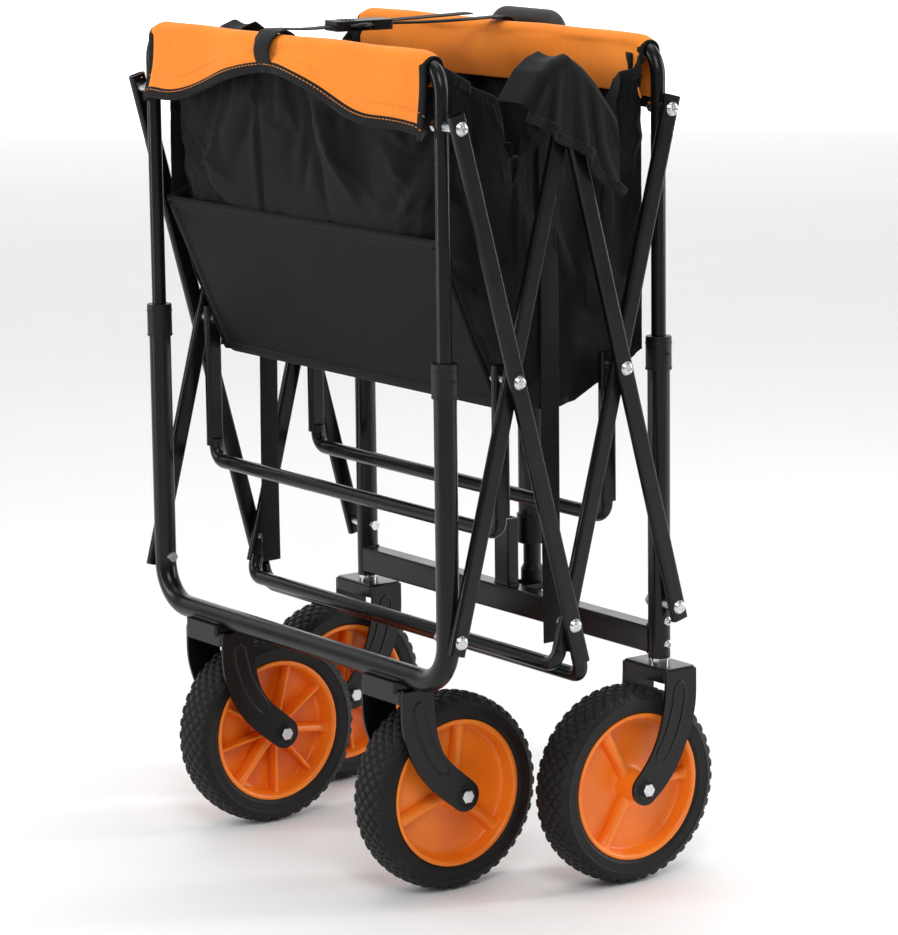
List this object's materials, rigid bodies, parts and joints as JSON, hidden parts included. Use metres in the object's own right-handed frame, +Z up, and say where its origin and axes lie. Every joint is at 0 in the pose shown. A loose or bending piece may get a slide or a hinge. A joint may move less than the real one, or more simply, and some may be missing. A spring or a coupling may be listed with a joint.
{
  "type": "folding camp wagon",
  "caption": "Folding camp wagon, shown folded: scissor side frames, telescoping end hoops, fabric tote with folding floor, pull handle, two swivel casters and two fixed wheels.",
  "frame": {"origin": "on the floor, under the centre of the folded wagon's outline", "axes": "+X towards the pull handle (front), +Y to the wagon's left, +Z up"},
  "size_m": [0.315, 0.522, 0.759],
  "materials": {
    "black_paint": "satin powder coat",
    "bright_hardware": "zinc plated",
    "orange_plastic": "moulded satin",
    "tyre": "moulded tread",
    "black_plastic": "moulded satin",
    "grip_rubber": "soft touch",
    "orange_fabric": "coated polyester weave",
    "black_fabric": "polyester weave",
    "webbing": "woven webbing"
  },
  "bodies": {
    "rear_frame": {"rear_u_frame": "black_paint", "rear_collars": "black_plastic", "rear_fork_left": "black_paint", "rear_fork_right": "black_paint", "rear_axles": "bright_hardware", "rear_lower_bolts": "bright_hardware"},
    "rear_lift_bars": {"rear_lift_bar_left": "black_paint", "rear_lift_bar_right": "black_paint", "rear_lift_bolts": "bright_hardware"},
    "rear_support_frame": {"rear_support_frame": "black_paint", "bottom_hub_bolts": "bright_hardware"},
    "rear_hoop": {"rear_hoop": "black_paint", "rear_slide_plugs": "black_plastic", "rear_upper_bolts": "bright_hardware", "tote_rear_end": "orange_fabric"},
    "rear_floor_rest": {"rear_floor_rest": "black_paint"},
    "front_lift_bars": {"front_lift_bar_left": "black_paint", "front_lift_bar_right": "black_paint", "front_lift_bolts": "bright_hardware"},
    "front_support_frame": {"front_support_frame": "black_paint"},
    "front_hoop": {"front_hoop": "black_paint", "front_slide_plugs": "black_plastic", "front_upper_bolts": "bright_hardware", "tote_front_end": "orange_fabric"},
    "front_floor_rest": {"front_floor_rest": "black_paint"},
    "front_frame": {"front_frame": "black_paint", "front_collars": "black_plastic", "front_lower_bolts": "bright_hardware", "handle_bracket": "black_paint", "handle_bolt": "bright_hardware"},
    "tote_rear_half": {"tote_rear_sides": "black_fabric", "tote_hub_flaps": "black_fabric", "side_straps": "webbing"},
    "tote_front_half": {"tote_front_sides": "black_fabric"},
    "floor_board_1": {"floor_board_1": "black_fabric"},
    "floor_board_2": {"floor_board_2": "black_fabric"},
    "floor_board_3": {"floor_board_3": "black_fabric"},
    "floor_board_4": {"floor_board_4": "black_fabric"},
    "closing_strap_rear": {"closing_strap_rear": "webbing", "buckle_socket": "black_plastic"},
    "closing_strap_front": {"closing_strap_front": "webbing", "buckle_plug": "black_plastic"},
    "handle_outer": {"handle_foot": "black_plastic", "handle_cap": "black_plastic", "handle_outer_tube": "black_paint", "handle_guide": "black_plastic"},
    "handle_inner": {"handle_inner_tube": "black_paint", "handle_grip": "grip_rubber"},
    "rear_wheel_left": {"rear_wheel_left_rim": "orange_plastic", "rear_wheel_left_tyre": "tyre"},
    "caster_left": {"caster_fork_left": "black_paint", "caster_bolts_left": "bright_hardware"},
    "front_wheel_left": {"front_wheel_left_rim": "orange_plastic", "front_wheel_left_tyre": "tyre"},
    "rear_wheel_right": {"rear_wheel_right_rim": "orange_plastic", "rear_wheel_right_tyre": "tyre"},
    "caster_right": {"caster_fork_right": "black_paint", "caster_bolts_right": "bright_hardware"},
    "front_wheel_right": {"front_wheel_right_rim": "orange_plastic", "front_wheel_right_tyre": "tyre"}
  },
  "joints": [
    {"name": "unfold", "type": "hinge", "parent": "rear_frame", "child": "rear_lift_bars", "pos_m": [-0.1235, 0, 0.248], "axis": [0, 1, 0], "range_deg": [0, 41], "deforming": ["tote_rear_end", "tote_front_end", "tote_rear_sides", "tote_front_sides", "tote_hub_flaps", "side_straps", "closing_strap_rear", "closing_strap_front", "floor_board_1", "floor_board_2", "floor_board_3", "floor_board_4"]},
    {"name": "rear_scissor", "type": "hinge", "parent": "rear_lift_bars", "child": "rear_support_frame", "pos_m": [-0.0655, 0, 0.4675], "axis": [0, 1, 0], "range_deg": [-82, 0]},
    {"name": "rear_hoop_pivot", "type": "hinge", "parent": "rear_support_frame", "child": "rear_hoop", "pos_m": [-0.1235, 0, 0.687], "axis": [0, 1, 0], "range_deg": [0, 41]},
    {"name": "rear_rest_pivot", "type": "hinge", "parent": "rear_lift_bars", "child": "rear_floor_rest", "pos_m": [-0.0655, 0, 0.4675], "axis": [0, 1, 0], "range_deg": [-41, 0]},
    {"name": "top_hub", "type": "hinge", "parent": "rear_lift_bars", "child": "front_lift_bars", "pos_m": [-0.0075, 0, 0.687], "axis": [0, 1, 0], "range_deg": [-82, 0]},
    {"name": "front_scissor", "type": "hinge", "parent": "front_lift_bars", "child": "front_support_frame", "pos_m": [0.0505, 0, 0.4675], "axis": [0, 1, 0], "range_deg": [0, 82]},
    {"name": "front_hoop_pivot", "type": "hinge", "parent": "front_support_frame", "child": "front_hoop", "pos_m": [0.1085, 0, 0.687], "axis": [0, 1, 0], "range_deg": [-41, 0]},
    {"name": "front_rest_pivot", "type": "hinge", "parent": "front_lift_bars", "child": "front_floor_rest", "pos_m": [0.0505, 0, 0.4675], "axis": [0, 1, 0], "range_deg": [0, 41]},
    {"name": "front_frame_pivot", "type": "hinge", "parent": "front_lift_bars", "child": "front_frame", "pos_m": [0.1085, 0, 0.248], "axis": [0, 1, 0], "range_deg": [0, 41]},
    {"name": "rear_side_stretch", "type": "slide", "parent": "rear_hoop", "child": "tote_rear_half", "axis": [1, 0, 0], "range_m": [0, 0.25976]},
    {"name": "front_side_stretch", "type": "slide", "parent": "front_hoop", "child": "tote_front_half", "axis": [-1, 0, 0], "range_m": [0, 0.25976]},
    {"name": "board_1_fold", "type": "hinge", "parent": "rear_hoop", "child": "floor_board_1", "pos_m": [0.00017, 0, 0.51394], "axis": [0, 1, 0], "range_deg": [-66.47, 0]},
    {"name": "board_2_fold", "type": "hinge", "parent": "floor_board_1", "child": "floor_board_2", "pos_m": [-0.052, 0, 0.441], "axis": [0, 1, 0], "range_deg": [0, 153.46]},
    {"name": "board_4_fold", "type": "hinge", "parent": "front_hoop", "child": "floor_board_4", "pos_m": [-0.04608, 0, 0.51612], "axis": [0, 1, 0], "range_deg": [0, 19.35]},
    {"name": "board_3_fold", "type": "hinge", "parent": "floor_board_4", "child": "floor_board_3", "pos_m": [-0.0155, 0, 0.4415], "axis": [0, 1, 0], "range_deg": [-107.42, 0]},
    {"name": "rear_strap_swing", "type": "hinge", "parent": "rear_hoop", "child": "closing_strap_rear", "pos_m": [-0.1095, 0, 0.7515], "axis": [0, 1, 0], "range_deg": [0, 90]},
    {"name": "front_strap_swing", "type": "hinge", "parent": "front_hoop", "child": "closing_strap_front", "pos_m": [0.0945, 0, 0.7515], "axis": [0, 1, 0], "range_deg": [-90, 0]},
    {"name": "rear_wheel_left_spin", "type": "hinge", "parent": "rear_frame", "child": "rear_wheel_left", "pos_m": [-0.0685, 0.142, 0.089], "axis": [0, 1, 0], "continuous": true},
    {"name": "caster_left_swivel", "type": "hinge", "parent": "front_frame", "child": "caster_left", "pos_m": [0.1085, 0.225, 0.195], "axis": [0, 0, 1], "range_deg": [-300, 17]},
    {"name": "front_wheel_left_spin", "type": "hinge", "parent": "caster_left", "child": "front_wheel_left", "pos_m": [0.0685, 0.225, 0.089], "axis": [0, 1, 0], "continuous": true},
    {"name": "rear_wheel_right_spin", "type": "hinge", "parent": "rear_frame", "child": "rear_wheel_right", "pos_m": [-0.0685, -0.142, 0.089], "axis": [0, 1, 0], "continuous": true},
    {"name": "caster_right_swivel", "type": "hinge", "parent": "front_frame", "child": "caster_right", "pos_m": [0.1085, -0.225, 0.195], "axis": [0, 0, 1], "range_deg": [-17, 300]},
    {"name": "front_wheel_right_spin", "type": "hinge", "parent": "caster_right", "child": "front_wheel_right", "pos_m": [0.0685, -0.225, 0.089], "axis": [0, 1, 0], "continuous": true},
    {"name": "handle_tilt", "type": "hinge", "parent": "front_frame", "child": "handle_outer", "pos_m": [0.1385, 0, 0.215], "axis": [0, 1, 0], "range_deg": [0, 110]},
    {"name": "handle_extend", "type": "slide", "parent": "handle_outer", "child": "handle_inner", "axis": [0, 0, 1], "range_m": [0, 0.33]}
  ],
  "couplings": [
    {"joint": "rear_scissor", "follows": "unfold", "ratio": -2},
    {"joint": "rear_hoop_pivot", "follows": "unfold", "ratio": 1},
    {"joint": "rear_rest_pivot", "follows": "unfold", "ratio": -1},
    {"joint": "top_hub", "follows": "unfold", "ratio": -2},
    {"joint": "front_scissor", "follows": "unfold", "ratio": 2},
    {"joint": "front_hoop_pivot", "follows": "unfold", "ratio": -1},
    {"joint": "front_rest_pivot", "follows": "unfold", "ratio": 1},
    {"joint": "front_frame_pivot", "follows": "unfold", "ratio": 1},
    {"joint": "rear_side_stretch", "follows": "unfold", "m_per_rad": 0.36272},
    {"joint": "front_side_stretch", "follows": "unfold", "m_per_rad": 0.36272},
    {"joint": "board_1_fold", "follows": "unfold", "ratio": -1.6213},
    {"joint": "board_2_fold", "follows": "unfold", "ratio": 3.7429},
    {"joint": "board_4_fold", "follows": "unfold", "ratio": 0.47191},
    {"joint": "board_3_fold", "follows": "unfold", "ratio": -2.62},
    {"joint": "rear_strap_swing", "follows": "unfold", "ratio": 2.1951},
    {"joint": "front_strap_swing", "follows": "unfold", "ratio": -2.1951}
  ]
}
